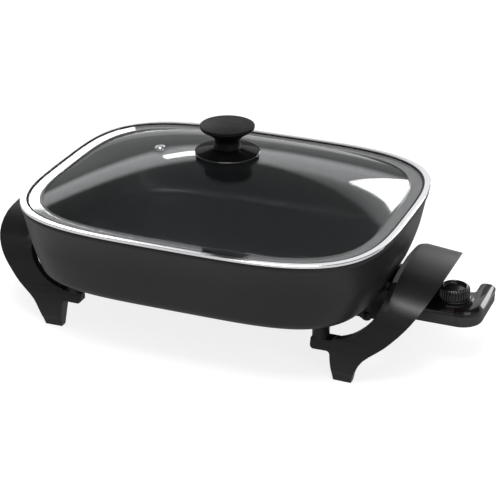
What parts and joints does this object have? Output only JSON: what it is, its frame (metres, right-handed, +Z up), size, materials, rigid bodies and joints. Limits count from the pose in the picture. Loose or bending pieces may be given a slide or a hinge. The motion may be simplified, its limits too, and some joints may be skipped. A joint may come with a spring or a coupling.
{
  "type": "electric skillet",
  "caption": "Rectangular electric skillet with a lift-off domed glass lid, arched leg-handles and a plug-in heat control with a dial.",
  "frame": {"origin": "on the table the feet stand on, below the centre of the pan", "axes": "+X along the pan's length towards the heat control, +Y towards the back long wall, +Z up"},
  "size_m": [0.527, 0.323, 0.2195],
  "materials": {
    "nonstick_coat": "die-cast aluminium under a satin dark non-stick coating",
    "element_sheath": "heat-tinted steel sheath",
    "bright_steel": "nickel-bright plated steel",
    "ceramic": "unglazed white ceramic",
    "guard_black": "matte black heat-resistant plastic",
    "handle_black": "satin black phenolic",
    "ring_steel": "polished stainless steel",
    "lid_glass": "clear tempered glass",
    "seal_silicone": "soft white silicone",
    "knob_black": "satin black phenolic, polished top",
    "skirt_black": "glossy black phenolic",
    "plug_black": "matte black phenolic",
    "brass": "bright spring brass",
    "zinc_steel": "zinc-plated sheet steel",
    "base_grey": "fine-grained dark grey plastic",
    "cover_black": "glossy black plastic",
    "lens_red": "dark red transparent plastic",
    "lamp_glass": "clear glass neon lamp",
    "gland_rubber": "black rubber",
    "dial_black": "glossy black plastic with ribs"
  },
  "bodies": {
    "skillet": {"pan": "nonstick_coat", "heating_element": "element_sheath", "terminal_pins": "bright_steel", "pin_insulators": "ceramic", "terminal_guard": "guard_black", "guard_screws": "bright_steel", "right_handle": "handle_black", "left_handle": "handle_black", "right_handle_screws": "bright_steel", "left_handle_screws": "bright_steel", "right_handle_washers": "zinc_steel", "left_handle_washers": "zinc_steel"},
    "lid": {"lid_ring": "ring_steel", "lid_glass": "lid_glass", "steam_vent": "bright_steel", "knob_gasket": "seal_silicone", "knob_skirt": "skirt_black", "lid_knob": "knob_black", "knob_washer": "zinc_steel", "knob_screw": "bright_steel"},
    "control": {"plug_block": "plug_black", "contact_sockets": "brass", "probe_rod": "bright_steel", "thermostat_bracket": "zinc_steel", "switch_blades": "brass", "control_base": "base_grey", "control_cover": "cover_black", "control_screws": "bright_steel", "indicator_lens": "lens_red", "indicator_lamp": "lamp_glass", "cord_gland": "gland_rubber"},
    "dial": {"dial_shaft": "zinc_steel", "control_dial": "dial_black"}
  },
  "joints": [
    {"name": "lid_lift", "type": "slide", "parent": "skillet", "child": "lid", "axis": [0, 0, 1], "range_m": [0, 0.15]},
    {"name": "control_pull", "type": "slide", "parent": "skillet", "child": "control", "axis": [1, 0, 0], "range_m": [0, 0.12]},
    {"name": "dial_turn", "type": "hinge", "parent": "control", "child": "dial", "pos_m": [0.249, 0, 0.073], "axis": [0, 0, -1], "range_deg": [0, 290]}
  ]
}
